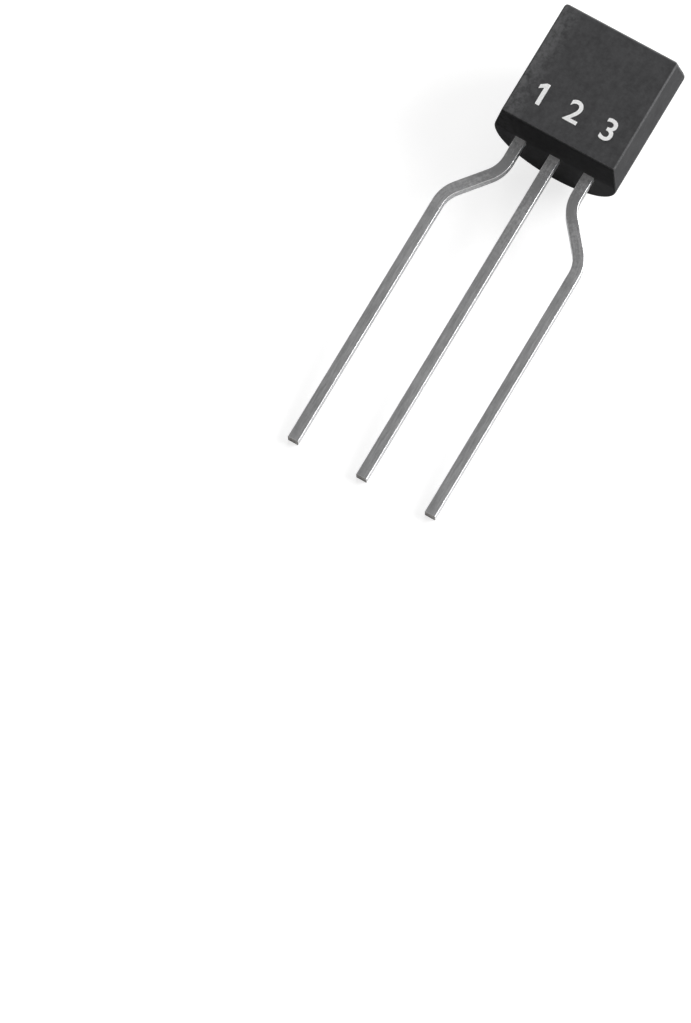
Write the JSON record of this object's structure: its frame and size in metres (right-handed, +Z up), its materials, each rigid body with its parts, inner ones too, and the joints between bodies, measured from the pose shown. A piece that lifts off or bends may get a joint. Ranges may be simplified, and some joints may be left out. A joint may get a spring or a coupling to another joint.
{
  "type": "to-92 transistor",
  "caption": "Small moulded transistor with a flat front, a round back and formed leads for through-hole soldering.",
  "frame": {"origin": "on the surface that the part lies on, under the middle of its box", "axes": "+Z up, out of the flat face but for the part's lean at rest; +Y from the lead tips towards the body's top end; +X to the right, seen with the flat face up and the leads towards the viewer"},
  "size_m": [0.0054, 0.0172, 0.0042],
  "materials": {
    "epoxy": "fine matt moulded epoxy, charcoal black",
    "tinned_lead": "dull tin plating with fine lengthwise drawing marks",
    "silicon": "polished silicon",
    "attach": "silver-filled epoxy",
    "bond_wire": "drawn gold wire",
    "white_print": "matt white ink of the pin numbers"
  },
  "bodies": {
    "root": {"moulded_body": "epoxy", "middle_lead": "tinned_lead", "left_lead": "tinned_lead", "right_lead": "tinned_lead", "silicon_die": "silicon", "die_attach": "attach", "left_bond_wire": "bond_wire", "right_bond_wire": "bond_wire"}
  },
  "joints": []
}
